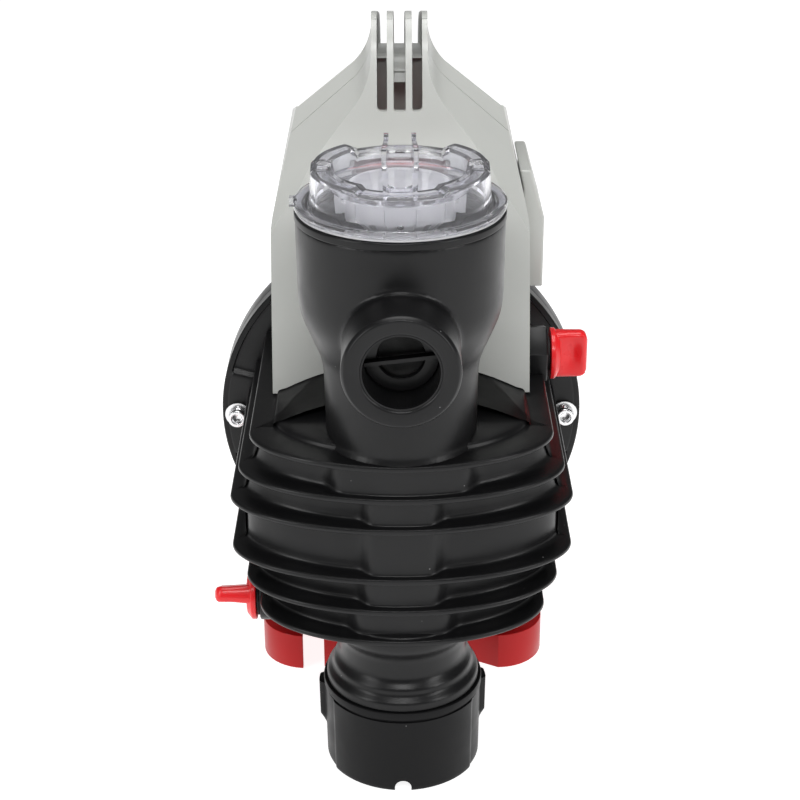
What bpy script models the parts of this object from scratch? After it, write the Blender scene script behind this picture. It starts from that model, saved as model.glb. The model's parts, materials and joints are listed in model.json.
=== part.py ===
"""Self-priming jet pump with a filter bowl, a screw cap foot, a foot plate and a hood with a handle.

Frame: origin at the centre of the foot cap's underside, suction port towards -Y, motor towards +Y, +Z up.
All lengths below are in millimetres; the meshes are made in metres.
"""

import math

import bmesh
import bpy
from mathutils import Matrix, Vector

MM = 0.001
GAP = 0.3  # between pieces that touch

# Driving dimensions
AXIS_Z = 132.0  # height of the motor axis
FLANGE_R = 98.6
FLANGE_FRONT = 126.0
FLANGE_BACK = 136.0
PORT_Z = 243.0  # height of the suction port axis
PORT_FACE = 74.0  # how far the port reaches to the front
PORT_BORE = 17.0
COLUMN_TOP = 293.0
COLUMN_R = 48.3
COLUMN_BORE = 43.6
NECK_R = 30.0
CAP_R = 40.0
CAP_TOP = 46.3
HOOD_FRONT = 42.0
HOOD_BACK = 345.0
HOOD_SEAM = 109.0
HANDLE_HALF = 14.0
DISCHARGE_Y = 78.0
VENT_Y, VENT_Z = 80.0, 187.0
DRAIN_Y, DRAIN_Z = 25.0, 77.0
SCREW_CIRCLE = 90.0
SCREW_COUNT = 6

# Height, half width at the corner, front centre of the tank wall
TANK_SECTIONS = [
    (76, 56, -24),
    (82, 66, -33),
    (102, 72, -34),
    (119, 78, -34),
    (146, 78, -34),
    (162, 74, -34),
    (179, 68, -34),
    (184, 61, -20),
    (189, 47, 8),
    (194, 30, 32),
    (197, 12, 50),
]
# Height and half width of each stiffening rib
RIBS = [(85, 71), (102, 77), (119, 83.5), (146, 83.5), (162, 79), (179, 73)]
RIB_FRONT = -38.0
RIB_THICK = 3.2
FRONT_BULGE = 30.0

for old in list(bpy.data.objects):
    bpy.data.objects.remove(old)

PARTS = bpy.data.collections.new("pool_pump")
CUTTERS = bpy.data.collections.new("cutters")
bpy.context.scene.collection.children.link(PARTS)
bpy.context.scene.collection.children.link(CUTTERS)

# The exact solver leaves slivers open where these cross many close surfaces.
CLOSE_CUTS = {"pump_vessel"}

MATERIALS = {}


def material(name, colour, roughness, metallic=0.0):
    made = bpy.data.materials.new(name)
    made.use_nodes = True
    shader = made.node_tree.nodes["Principled BSDF"]
    shader.inputs["Base Color"].default_value = (*colour, 1.0)
    shader.inputs["Roughness"].default_value = roughness
    shader.inputs["Metallic"].default_value = metallic
    made.diffuse_color = (*colour, 1.0)
    MATERIALS[name] = made
    return made


material("black_plastic", (0.012, 0.012, 0.013), 0.42)
material("grey_plastic", (0.50, 0.51, 0.49), 0.40)
material("red_plastic", (0.72, 0.02, 0.03), 0.35)
material("clear_plastic", (0.85, 0.87, 0.92), 0.08)
material("white_plastic", (0.82, 0.82, 0.81), 0.45)
material("black_rubber", (0.015, 0.015, 0.015), 0.75)
material("zinc_steel", (0.72, 0.73, 0.74), 0.28, 1.0)
material("turned_steel", (0.60, 0.60, 0.61), 0.25, 1.0)
material("cast_aluminium", (0.58, 0.58, 0.59), 0.45, 1.0)
material("laminated_steel", (0.28, 0.29, 0.30), 0.50, 1.0)
material("copper_winding", (0.62, 0.27, 0.12), 0.38, 1.0)
material("brass", (0.74, 0.55, 0.24), 0.30, 1.0)
material("carbon_ceramic", (0.10, 0.10, 0.11), 0.35)


def place(name, mesh, made_of=None, at=(0, 0, 0), turn=(0, 0, 0)):
    """A new object, a cutter when it has no material. The place is in millimetres and the turn in degrees."""
    obj = bpy.data.objects.new(name, mesh)
    obj.location = Vector(at) * MM
    obj.rotation_euler = [math.radians(angle) for angle in turn]
    if made_of:
        PARTS.objects.link(obj)
        mesh.materials.append(MATERIALS[made_of])
    else:
        CUTTERS.objects.link(obj)
        obj.hide_render = True
        obj.display_type = "WIRE"
    return obj


def turned(name, profile, made_of=None, at=(0, 0, 0), turn=(0, 0, 0), steps=24, ring=False):
    """A turned solid from (radius, height) points that run down its outer side."""
    mesh = bpy.data.meshes.new(name)
    edges = [(i, i + 1) for i in range(len(profile) - 1)]
    if ring:
        edges.append((len(profile) - 1, 0))
    mesh.from_pydata([(r * MM, 0, h * MM) for r, h in profile], edges, [])
    obj = place(name, mesh, made_of, at, turn)
    screw = obj.modifiers.new("turned", "SCREW")
    screw.steps = screw.render_steps = steps
    screw.use_merge_vertices = True
    screw.merge_threshold = 0.00001
    return obj


def cylinder(name, radius, low, high, made_of=None, at=(0, 0, 0), turn=(0, 0, 0), steps=20):
    """A cylinder from low to high along its own Z."""
    return turned(name, [(0, high), (radius, high), (radius, low), (0, low)], made_of, at, turn, steps)


def tube(name, outer, inner, low, high, made_of=None, at=(0, 0, 0), turn=(0, 0, 0), steps=24):
    profile = [(outer, high), (outer, low), (inner, low), (inner, high)]
    return turned(name, profile, made_of, at, turn, steps, ring=True)


def box(name, low, high, made_of=None, turn=(0, 0, 0)):
    """A box between two corners, with its origin at its centre."""
    low, high = Vector(low), Vector(high)
    work = bmesh.new()
    bmesh.ops.create_cube(work, size=1.0)
    bmesh.ops.scale(work, vec=(high - low) * MM, verts=work.verts)
    mesh = bpy.data.meshes.new(name)
    work.to_mesh(mesh)
    work.free()
    return place(name, mesh, made_of, (low + high) / 2, turn)


def prism(name, outline, low, high, made_of=None, across="Z", at=(0, 0, 0), turn=(0, 0, 0)):
    """A flat outline made thick from low to high along one axis.

    The outline is (x, y) for Z, (x, z) for Y and (y, z) for X.
    """
    work = bmesh.new()
    spots = {
        "Z": lambda a, b: (a, b, low),
        "Y": lambda a, b: (a, low, b),
        "X": lambda a, b: (low, a, b),
    }[across]
    face = work.faces.new([work.verts.new(Vector(spots(a, b)) * MM) for a, b in outline])
    made = bmesh.ops.extrude_face_region(work, geom=[face])
    step = Vector({"Z": (0, 0, 1), "Y": (0, 1, 0), "X": (1, 0, 0)}[across]) * (high - low) * MM
    bmesh.ops.translate(work, vec=step, verts=[v for v in made["geom"] if isinstance(v, bmesh.types.BMVert)])
    bmesh.ops.recalc_face_normals(work, faces=work.faces)
    mesh = bpy.data.meshes.new(name)
    work.to_mesh(mesh)
    work.free()
    return place(name, mesh, made_of, at, turn)


def loft(name, rings, made_of=None):
    """A closed solid over a stack of outlines that have the same number of points."""
    work = bmesh.new()
    rows = [[work.verts.new(Vector(point) * MM) for point in ring] for ring in rings]
    count = len(rows[0])
    for lower, upper in zip(rows, rows[1:]):
        for i in range(count):
            j = (i + 1) % count
            work.faces.new((lower[i], lower[j], upper[j], upper[i]))
    work.faces.new(list(reversed(rows[0])))
    work.faces.new(rows[-1])
    bmesh.ops.recalc_face_normals(work, faces=work.faces)
    mesh = bpy.data.meshes.new(name)
    work.to_mesh(mesh)
    work.free()
    return place(name, mesh, made_of)


def combine(obj, other, how):
    step = obj.modifiers.new(f"{how.lower()} {other.name}", "BOOLEAN")
    step.operation = how
    step.object = other
    if obj.name in CLOSE_CUTS:
        step.solver = "MANIFOLD"
    return obj


def cut(obj, *others):
    for other in others:
        combine(obj, other, "DIFFERENCE")
    return obj


def join(obj, *others):
    for other in others:
        combine(obj, other, "UNION")
    return obj


def mirrored(points):
    """A closed outline from the points of its right half, listed from the bottom up."""
    return points + [(-x, z) for x, z in reversed(points) if x > 0]


TO_FRONT = (90, 0, 0)  # turns a piece's own Z towards -Y
TO_BACK = (-90, 0, 0)  # towards +Y
TO_RIGHT = (0, 90, 0)  # towards +X
TO_LEFT = (0, -90, 0)  # towards -X


def tank_outline(half, front, back, z, arc_points=9):
    """The D shape of the tank seen from above: a bulging front and straight sides."""
    spots = []
    for i in range(arc_points):
        angle = math.pi * i / (arc_points - 1)
        across = -math.cos(angle)
        depth = front + FRONT_BULGE * (1 - math.sin(angle) ** 0.75) * min(1.0, half / 60)
        spots.append((half * across * (1 if 0 < i < arc_points - 1 else 0.985), depth, z))
    return spots + [(half, front + FRONT_BULGE * min(1.0, half / 60) + 8, z), (half, back, z),
                    (-half, back, z), (-half, front + FRONT_BULGE * min(1.0, half / 60) + 8, z)]


def tank_solid(name, grow, back, made_of=None, sections=TANK_SECTIONS):
    rings = [tank_outline(half + grow, front - grow, back, z) for z, half, front in sections]
    last = len(rings) - 1
    rings[0] = [(x, y, z - grow) for x, y, z in rings[0]]
    rings[last] = [(x, y, z + grow) for x, y, z in rings[last]]
    return loft(name, rings, made_of)


# ---- Tank -------------------------------------------------------------------

vessel = tank_solid("pump_vessel", 0, FLANGE_FRONT + 1, "black_plastic")
for number, (z, half) in enumerate(RIBS, 1):
    outline = [(x, y) for x, y, _ in tank_outline(half, RIB_FRONT, FLANGE_FRONT + 2, z)]
    join(vessel, prism(f"rib_{number}", outline, z - RIB_THICK / 2, z + RIB_THICK / 2))

axis = (0, 0, AXIS_Z)
join(
    vessel,
    cylinder("drum", 82, 90, FLANGE_FRONT + 3, at=axis, turn=TO_BACK, steps=40),
    cylinder("flange", FLANGE_R, FLANGE_FRONT, FLANGE_BACK, at=axis, turn=TO_BACK, steps=40),
)
cut(
    vessel,
    tank_solid("tank_hollow", -5, FLANGE_BACK - 28),
    cylinder("drum_bore", 77.5, 94, FLANGE_BACK + 4, at=axis, turn=TO_BACK, steps=36),
    tube("o_ring_groove", 86, 82, FLANGE_BACK - 2, FLANGE_BACK + 2, at=axis, turn=TO_BACK, steps=40),
)
neck_profile = [(0, 92), (40, 92), (34, 82), (NECK_R, 74), (NECK_R, 63), (34, 56.5), (34, 52),
                (39, CAP_TOP + 0.5), (33.6, CAP_TOP + 0.5), (33.6, 6), (0, 6)]
column_profile = [(0, COLUMN_TOP), (COLUMN_R, COLUMN_TOP), (COLUMN_R, COLUMN_TOP - 3),
                  (COLUMN_R - 0.6, COLUMN_TOP - 3.6), (COLUMN_R - 0.9, 244), (46, 240), (37, 223),
                  (35.5, 216), (34.5, 176), (0, 176)]
port_profile = [(0, PORT_FACE), (25.2, PORT_FACE), (26.2, PORT_FACE - 1.2), (26.4, 30), (0, 30)]
join(
    vessel,
    turned("neck", neck_profile, steps=28),
    turned("column", column_profile, steps=32),
    turned("port_boss", port_profile, at=(0, 0, PORT_Z), turn=TO_FRONT),
    cylinder("discharge_boss", 19, 212, 262, at=(0, DISCHARGE_Y, 0)),
    cylinder("discharge_root", 15.8, 187, 213, at=(0, DISCHARGE_Y, 0)),
    cylinder("vent_boss", 12, 48, 64.6, at=(0, VENT_Y, VENT_Z), turn=TO_RIGHT, steps=20),
    cylinder("drain_boss", 13.4, 50, 72.7, at=(0, DRAIN_Y, DRAIN_Z), turn=TO_LEFT, steps=20),
)
cut(
    vessel,
    cylinder("neck_bore", 26, -5, 96, steps=24),
    turned("column_bore", [(0, 300), (COLUMN_BORE, 300), (COLUMN_BORE, 240), (31, 227), (31, 190), (0, 190)],
           steps=28),
    cylinder("jet_hole", 14.3, 170, 200, steps=24),
    cylinder("port_bore", PORT_BORE, 20, 90, at=(0, 0, PORT_Z), turn=TO_FRONT, steps=28),
    cylinder("discharge_bore", 13.5, 184, 270, at=(0, DISCHARGE_Y, 0)),
    cylinder("vent_bore", 7, 40, 80, at=(0, VENT_Y, VENT_Z), turn=TO_RIGHT, steps=16),
    cylinder("drain_bore", 7, 40, 80, at=(0, DRAIN_Y, DRAIN_Z), turn=TO_LEFT, steps=16),
    box("vent_notch", (64.6, VENT_Y - 17, 170), (90, VENT_Y + 17, 206)),
)

# ---- Foot cap under the neck --------------------------------------------------

cap_profile = [(0, CAP_TOP), (CAP_R, CAP_TOP), (CAP_R, 42.6), (CAP_R - 1, 42), (CAP_R - 0.6, 2),
               (CAP_R - 2.5, 0), (0, 0)]
foot_cap = turned("foot_cap", cap_profile, "black_plastic", steps=32)
cut(foot_cap, cylinder("cap_bore", 34.3, 3.4, 60, steps=28))
for number, angle in enumerate((90, 210, 330), 1):
    lug = box(f"cap_lug_{number}", (CAP_R - 3, -5, 17), (CAP_R + 3, 5, CAP_TOP))
    lug.matrix_world = Matrix.Rotation(math.radians(angle + 90), 4, "Z") @ Matrix.Translation(lug.location)
    join(foot_cap, lug)
cut(foot_cap, cylinder("cap_notch", 4.5, CAP_R - 4, CAP_R + 4, at=(0, 0, 3.5), turn=TO_FRONT, steps=16))
tube("foot_cap_gasket", 33.4, 26.4, 3.4 + GAP, 6 - GAP, "black_rubber", steps=20)

# ---- Filter bowl ----------------------------------------------------------------

lid_profile = [(0, 306.5), (30, 306.5), (33, 315.5), (38.5, 315.5), (40.5, 313), (41, 298.4),
               (48.5, 298), (48.5, 294.6), (43.2, 294.6), (43.2, 284), (40, 284), (38.2, 297),
               (37.8, 312.6), (35.2, 312.8), (32, 303.9), (0, 303.9)]
filter_lid = turned("filter_lid", lid_profile, "clear_plastic", steps=28)
tube("lid_seal", 47.4, 44.2, COLUMN_TOP + GAP, 294.6 - GAP, "black_rubber", steps=28)


def strainer():
    """A basket with a slotted wall: alternate strips of the wall are left out between three bands."""
    work = bmesh.new()
    heights = [200, 206, 245, 251, 288, 303]
    sides = 20
    grid = []
    for z in heights:
        grid.append([
            work.verts.new(Vector((24.5 * math.cos(2 * math.pi * i / sides),
                                   24.5 * math.sin(2 * math.pi * i / sides), z)) * MM)
            for i in range(sides)
        ])
    for row in range(len(heights) - 1):
        for i in range(sides):
            if row in (1, 3) and i % 2:
                continue
            j = (i + 1) % sides
            work.faces.new((grid[row][i], grid[row][j], grid[row + 1][j], grid[row + 1][i]))
    work.faces.new(list(reversed(grid[0])))
    mesh = bpy.data.meshes.new("strainer_basket")
    work.to_mesh(mesh)
    work.free()
    basket = place("strainer_basket", mesh, "white_plastic")
    shell = basket.modifiers.new("wall", "SOLIDIFY")
    shell.thickness = 1.8 * MM
    shell.offset = -1
    return basket


basket = strainer()
join(basket, tube("basket_rim", 29, 23.4, 196.5, 201.5, steps=24))
cut(basket, cylinder("basket_hole", 17, 190, 204, steps=20))

# ---- Check valve in the suction port ---------------------------------------------

port = (0, 0, PORT_Z)
cage = tube("suction_valve_cage", PORT_BORE - GAP, 15.4, 40, 54.5, "black_plastic", port, TO_FRONT, 20)
join(cage, tube("valve_seat", PORT_BORE - GAP, 10.5, 51, 54.5, at=port, turn=TO_FRONT, steps=20))
join(cage, box("seat_bar", (-15.6, -58, PORT_Z - 1.5), (15.6, -54, PORT_Z + 1.5)))
cylinder("suction_valve_flap", 12.6, 48.3, 51 - GAP, "black_rubber", port, TO_FRONT, 20)

# ---- Caps and plugs ---------------------------------------------------------------

discharge = (0, DISCHARGE_Y, 0)
discharge_cap = turned(
    "discharge_cap",
    [(0, 272), (20.5, 272), (22, 270.5), (22, 263.6), (13, 263.6), (13, 250), (0, 250)],
    "red_plastic", discharge, steps=20,
)
join(discharge_cap, box("cap_grip", (-16, DISCHARGE_Y - 3.5, 270), (16, DISCHARGE_Y + 3.5, 276)))
tube("discharge_cap_seal", 18.4, 14, 262 + GAP, 263.6 - GAP, "black_rubber", discharge, steps=20)

vent = (0, VENT_Y, VENT_Z)
adapter = cylinder("vent_adapter", 16, 64.9, 75, "black_plastic", vent, TO_RIGHT, 6)
join(adapter, cylinder("adapter_spigot", 6.7, 55, 66, at=vent, turn=TO_RIGHT, steps=16))
cut(adapter, cylinder("adapter_bore", 4.6, 50, 80, at=vent, turn=TO_RIGHT, steps=16))


def winged_plug(name, base, reach, spigot_r, spigot_low, at, turn, wing_turn):
    """A plug with a round flange and a flat wing with rounded corners."""
    plug = turned(
        name,
        [(0, base + 5.5), (9, base + 5.5), (13.25, base + 3.6), (13.25, base), (spigot_r, base),
         (spigot_r, spigot_low), (0, spigot_low)],
        "red_plastic", at, turn, steps=20,
    )
    tip = reach
    outline = [(-12.5, base + 3), (12.5, base + 3), (12.5, tip - 4), (11.3, tip - 1.2), (8.5, tip),
               (-8.5, tip), (-11.3, tip - 1.2), (-12.5, tip - 4)]
    wing = prism(f"{name}_wing", outline, -3.4, 3.4, across="Y", at=at)
    wing.matrix_world = Matrix.LocRotScale(wing.location, None, None) @ (
        Matrix.Rotation(math.radians(turn[1]), 4, "Y") @ Matrix.Rotation(math.radians(wing_turn), 4, "Z")
    )
    return join(plug, wing)


winged_plug("vent_plug", 76.8, 96, 4.3, 66, vent, TO_RIGHT, 0)
tube("vent_plug_seal", 9, 4.7, 75 + GAP, 76.8 - GAP, "black_rubber", vent, TO_RIGHT, 20)
drain = (0, DRAIN_Y, DRAIN_Z)
winged_plug("drain_plug", 74.5, 93.5, 6.6, 58, drain, TO_LEFT, 118)
tube("drain_plug_seal", 11, 7.3, 72.7 + GAP, 74.5 - GAP, "black_rubber", drain, TO_LEFT, 20)

# ---- Jet insert, impeller and seals --------------------------------------------------

jet = cylinder("jet_insert", 13.8, 122, 193, "black_plastic", steps=24)
join(
    jet,
    cylinder("jet_top", 19, 190 + GAP, 193.5, steps=24),
    cylinder("jet_pipe", 15, -13, 104, at=axis, turn=TO_BACK, steps=24),
)
cut(
    jet,
    cylinder("jet_down_bore", 10.5, 128, 200, steps=20),
    turned("jet_bore", [(0, 110), (13, 110), (7.5, 50), (7.5, 20), (10.5, 0), (0, 0)], at=axis, turn=TO_BACK,
           steps=20),
)

diffuser = turned(
    "diffuser",
    [(77, 134), (77, 96), (15.5, 96), (15.5, 106), (66, 106), (66, 134)],
    "black_plastic", axis, TO_BACK, 32, ring=True,
)
for number in range(6):
    angle = math.radians(60 * number + 33)
    spot = (71.5 * math.cos(angle), 0, AXIS_Z + 71.5 * math.sin(angle))
    cut(diffuser, cylinder(f"return_hole_{number + 1}", 3.8, 90, 140, at=spot, turn=TO_BACK, steps=8))

impeller = turned(
    "impeller",
    [(62, 124), (62, 121), (12, 121), (9, 112), (5.3, 112), (5.3, 124)],
    "brass", axis, TO_BACK, 24, ring=True,
)


def vane(number):
    """One backward-swept vane between the two shrouds."""
    start = 2 * math.pi * number / 6
    inner, outer = [], []
    for i in range(5):
        radius = 20 + (61.5 - 20) * i / 4
        sweep = start + 1.1 * i / 4
        for side, spots in ((-1.1, outer), (1.1, inner)):
            turn = sweep + side / radius
            spots.append((radius * math.cos(turn), radius * math.sin(turn)))
    return prism(f"vane_{number + 1}", inner + outer[::-1], 110.6, 121.4, at=axis, turn=TO_BACK)


join(impeller, *[vane(number) for number in range(6)])
join(impeller, tube("front_shroud", 62, 18.5, 108.4, 111, at=axis, turn=TO_BACK, steps=24))
nut = cylinder("impeller_nut", 7.5, 104.5, 111.7, "zinc_steel", axis, TO_BACK, 6)
cut(nut, cylinder("nut_bore", 5.3, 100, 115, at=axis, turn=TO_BACK, steps=16))
tube("mechanical_seal_rotor", 11.6, 6.4, 125, 136.9, "carbon_ceramic", axis, TO_BACK, 20)
tube("mechanical_seal_seat", 12, 7.8, 137.2, 146, "carbon_ceramic", axis, TO_BACK, 20)
tube("vessel_o_ring", 85.4, 82.6, FLANGE_BACK - 1.7, FLANGE_BACK, "black_rubber", axis, TO_BACK, 32)

# ---- Motor ------------------------------------------------------------------------------

bracket_profile = [(62, 182), (62, 176), (72, 160), (FLANGE_R - 6, 153), (FLANGE_R, 151),
                   (FLANGE_R, FLANGE_BACK + GAP), (12.4, FLANGE_BACK + GAP), (12.4, 149.6), (17.8, 149.6),
                   (17.8, 161), (23, 161), (23, 152), (64, 154), (59.6, 172), (59.6, 182)]
bracket = turned("motor_bracket", bracket_profile, "black_plastic", axis, TO_BACK, 32, ring=True)

for number in range(SCREW_COUNT):
    angle = 2 * math.pi * number / SCREW_COUNT
    spot = (SCREW_CIRCLE * math.cos(angle), 0, AXIS_Z + SCREW_CIRCLE * math.sin(angle))
    hole = cylinder(f"screw_hole_{number + 1}", 3.3, 117, 148, at=spot, turn=TO_BACK, steps=12)
    pocket = cylinder(f"screw_pocket_{number + 1}", 8.5, 111, FLANGE_FRONT, at=spot, turn=TO_BACK, steps=16)
    cut(vessel, hole, pocket)
    cut(bracket, hole)
    front = FLANGE_FRONT - GAP
    tube(f"flange_washer_{number + 1}", 7, 3.4, front - 1.4, front, "zinc_steel", spot, TO_BACK, 12)
    head = front - 1.4 - GAP
    screw = turned(
        f"flange_screw_{number + 1}",
        [(0, 147), (3, 147), (3, head), (5, head), (5, head - 5.5), (4.6, head - 6), (0, head - 6)],
        "zinc_steel", spot, TO_BACK, steps=10,
    )
    cut(screw, cylinder(f"socket_{number + 1}", 2.9, head - 9, head - 3, at=spot, turn=TO_BACK, steps=6))

housing_profile = [(59.2, 300), (59.2, 172), (55.5, 172), (55.5, 295), (23, 295), (23, 285), (17.8, 285),
                   (17.8, 296.6), (9, 296.6), (9, 300)]
turned("motor_housing", housing_profile, "cast_aluminium", axis, TO_BACK, 32, ring=True)
tube("stator_core", 55.2, 32, 195, 265, "laminated_steel", axis, TO_BACK, 24)
tube("winding_front", 52, 34, 179, 195 - GAP, "copper_winding", axis, TO_BACK, 24)
tube("winding_rear", 52, 34, 265 + GAP, 281, "copper_winding", axis, TO_BACK, 24)
tube("rotor_core", 31.4, 8.3, 195, 265, "laminated_steel", axis, TO_BACK, 24)
tube("bearing_front", 17.5, 7.6, 149.9, 160.8, "turned_steel", axis, TO_BACK, 16)
tube("bearing_rear", 17.5, 7.6, 285.3, 296.3, "turned_steel", axis, TO_BACK, 16)
turned(
    "motor_shaft",
    [(0, 320), (6, 320), (6, 298), (7.3, 298), (7.3, 272), (8, 272), (8, 188), (7.3, 188), (7.3, 148),
     (6, 148), (6, 124.5), (5, 124.5), (5, 102), (0, 102)],
    "turned_steel", axis, TO_BACK, steps=14,
)

fan = tube("cooling_fan", 13, 6.3, 303, 318, "white_plastic", axis, TO_BACK, 20)
for number in range(7):
    blade = box(f"fan_blade_{number + 1}", (-1.2, 304.5, 12), (1.2, 317, 50))
    angle = 2 * math.pi * number / 7
    blade.matrix_world = (Matrix.Translation(Vector(axis) * MM) @ Matrix.Rotation(angle, 4, "Y")
                          @ Matrix.Translation(blade.location) @ Matrix.Rotation(0.5, 4, "Z"))
    join(fan, blade)

fan_cover = turned(
    "fan_cover",
    [(61.2, 332), (61.2, 286), (59.6, 286), (59.6, 329.4), (10, 329.4), (10, 332)],
    "black_plastic", axis, TO_BACK, 32, ring=True,
)
for number in range(8):
    slot = box(f"fan_slot_{number + 1}", (-3.2, 325, 20), (3.2, 336, 50))
    angle = 2 * math.pi * number / 8
    slot.matrix_world = (Matrix.Translation(Vector(axis) * MM) @ Matrix.Rotation(angle, 4, "Y")
                         @ Matrix.Translation(slot.location))
    cut(fan_cover, slot)
cylinder("run_capacitor", 17, 195, 265, "white_plastic", (-28, 0, 216), TO_BACK, 24)

# ---- Hood with the carrying handle ----------------------------------------------------------

WIDTHS = [(66, 100), (64, 180), (64, 262), (57, 290), (51, 314), (38, 321), (28, 327.5), (20, 336),
          (15.6, 345), (HANDLE_HALF, 352), (HANDLE_HALF, 368)]
INSIDE = [(63.3, 90), (61.4, 180), (61.4, 261), (54.5, 289), (48.6, 312), (36.6, 318.4), (26.6, 324.8),
          (18, 333)]
SIDE = [(HOOD_FRONT, 182), (50, 213), (66, 260), (84, 300), (90, 318), (95, 334), (101, 348), (112, 357),
        (135, 352.5), (200, 337.5), (262, 323), (300, 308), (322, 284), (332, 260), (HOOD_BACK - 4, 248),
        (HOOD_BACK, 240), (HOOD_BACK, 105), (184, 105), (184, 182)]
SIDE_INSIDE = [(45, 90), (45, 182), (53, 212.5), (69, 259), (87, 299), (93, 316), (97, 329), (113, 327),
               (116, 300), (HOOD_BACK - 9, 237), (HOOD_BACK - 3, 230), (HOOD_BACK - 3, 90)]
GRIP = [(170, 292), (161, 300), (161, 314), (169, 321), (262, 299), (276, 290), (280, 274), (272, 262.5)]
GROOVE = [(60, 313), (102, 313), (113, 336), (169, 330), (262, 308), (290, 300), (304, 306), (330, 400), (60, 400)]
ROOF = [(120, 306), (HOOD_BACK + 9, 238.5), (HOOD_BACK + 9, 390), (120, 390)]
SHOULDER = (0.6676, -0.2952, 0.6836, 203.3)  # the sloped facet on each side of the handle's foot


def shoulder(name, side, inward, depth):
    """What lies above the sloped facet beside the handle, from inward outwards."""
    a, b, c, d = SHOULDER
    spots = [(x, y) for x, y in ((inward, 30), (100, 30), (100, 131), (inward, 131))]
    low = [(side * x, y, (d - depth - a * x - b * y) / c) for x, y in spots]
    return loft(name, [low, [(x, y, 420) for x, y, _ in low]])


def hood(name):
    """The whole hood: a front outline crossed with a side outline, hollow below, with a grooved handle."""
    body = prism(name, mirrored([(0, 100)] + WIDTHS + [(0, 368)])[0:], HOOD_FRONT - 5, HOOD_BACK + 5,
                 "grey_plastic", across="Y")
    combine(body, prism(f"{name}_side", SIDE, -90, 90, across="X"), "INTERSECT")
    hollow = prism(f"{name}_hollow", mirrored([(0, 90)] + INSIDE + [(0, 333)]), 40, HOOD_BACK + 5, across="Y")
    combine(hollow, prism(f"{name}_hollow_side", SIDE_INSIDE, -80, 80, across="X"), "INTERSECT")
    for side in (-1, 1):
        cut(hollow, shoulder(f"{name}_hollow_facet_{side}", side, HANDLE_HALF - 2.8, 2.8))
    cut(body, hollow, prism(f"{name}_grip", GRIP, -90, 90, across="X"))
    for side in (-1, 1):
        cut(body, shoulder(f"{name}_facet_{side}", side, HANDLE_HALF, 0))
        low, high = sorted((HANDLE_HALF * side, 90 * side))
        cut(body, prism(f"{name}_roof_{side}", ROOF, low, high, across="X"))
    for low, high in ((-10.2, -5.4), (-2.4, 2.4), (5.4, 10.2)):
        cut(body, prism(f"{name}_groove_{high}", GROOVE, low, high, across="X"))
    return body


front = hood("hood_front")
cut(
    front,
    box("front_keep", (-120, HOOD_SEAM - 0.2, 80), (120, 400, 400)),
    tank_solid("tank_room", 1.0, 128),
    cylinder("front_drum_room", 84, 86, 130, at=axis, turn=TO_BACK, steps=40),
    prism("discharge_room", [(-27, 40), (27, 40), (27, 92), (19, 104), (-19, 104), (-27, 92)], 150, 291),
    cylinder("vent_room", 13, 50, 72, at=vent, turn=TO_RIGHT, steps=20),
    box("vent_slot", (50, VENT_Y - 13, 170), (72, VENT_Y + 13, VENT_Z)),
)
rear = hood("hood_rear")
cut(
    rear,
    box("rear_keep", (-120, 30, 80), (120, HOOD_SEAM + 0.2, 400)),
    cylinder("flange_room", FLANGE_R + 1, FLANGE_FRONT - 9, 161, at=axis, turn=TO_BACK, steps=40),
    cylinder("drum_room", 84, 86, 130, at=axis, turn=TO_BACK, steps=40),
    tank_solid("tank_room_rear", 1.0, 128),
)
for number in range(5):
    z = 150 + 26 * number
    cut(rear, box(f"louvre_{number + 1}", (-42, HOOD_BACK - 6, z), (42, HOOD_BACK + 6, z + 6)))

BOX_OUTLINE = [(64 + GAP, 207.5), (75, 207.5), (75, 247), (61.6, 275), (61.2, 275), (64 + GAP, 262.2)]
switch_box = prism("switch_box", BOX_OUTLINE, 122, 176, "grey_plastic", across="Y")
cut(switch_box, box("rocker_window", (71, 132.6, 219.6), (80, 157.4, 236.4)))
rocker = box("switch_rocker", (72, 133, 220), (76.6, 157, 236), "red_plastic")
edge = rocker.modifiers.new("edge", "BEVEL")
edge.width = 1.0 * MM
edge.segments = 1
turned("cable_gland", [(5.5, 207.2), (5.5, 203), (5, 192), (2.8, 192), (2.8, 207.2)],
               "black_rubber", (69.6, 166, 0), steps=12, ring=True)

# ---- Foot plate under the motor ----------------------------------------------------------------


def rounded(half, front_edge, back_edge, corner, dip=0.0):
    """A plate outline with rounded corners, its front edge drawn back by dip at the middle."""
    spots = []
    centres = [(half - corner, front_edge + corner, -90), (half - corner, back_edge - corner, 0),
               (-half + corner, back_edge - corner, 90), (-half + corner, front_edge + corner, 180)]
    for x, y, start in centres:
        for i in range(5):
            angle = math.radians(start + 22.5 * i)
            spots.append((x + corner * math.cos(angle), y + corner * math.sin(angle)))
    if dip:
        spots += [(-25, front_edge + dip), (25, front_edge + dip)]
    return spots


plate = prism("foot_plate", rounded(78, 73, 330, 25, 3), 0, 13, "red_plastic")
cut(plate, prism("plate_hollow", rounded(75, 76.5, 327, 22, 3), -5, 10))
saddle = prism("saddle", [(-44, 9), (44, 9), (40, 100), (-40, 100)], 200, 284, across="Y")
join(plate, saddle)
cut(
    plate,
    cylinder("saddle_seat", 59.6, 180, 340, at=axis, turn=TO_BACK, steps=40),
    box("saddle_hollow", (-33, 206, -5), (33, 278, 60)),
    prism("slot_front", [(-55, 60), (-43.4, 60), (-43.4, 92), (-46, 97), (-52.4, 97), (-55, 92)], -5, 20),
    prism("slot_rear", [(55, 345), (43.4, 345), (43.4, 311), (46, 306), (52.4, 306), (55, 311)], -5, 20),
)
for side, name in ((-1, "left"), (1, "right")):
    for y, where in ((105, "front"), (298, "rear")):
        cylinder(f"foot_pad_{where}_{name}", 8.5, 0, 10 - GAP, "black_rubber", (side * 30, y, 0), steps=14)
        cut(plate, cylinder(f"pad_room_{where}_{name}", 8.8, -5, 10, at=(side * 30, y, 0), steps=14))

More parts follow.
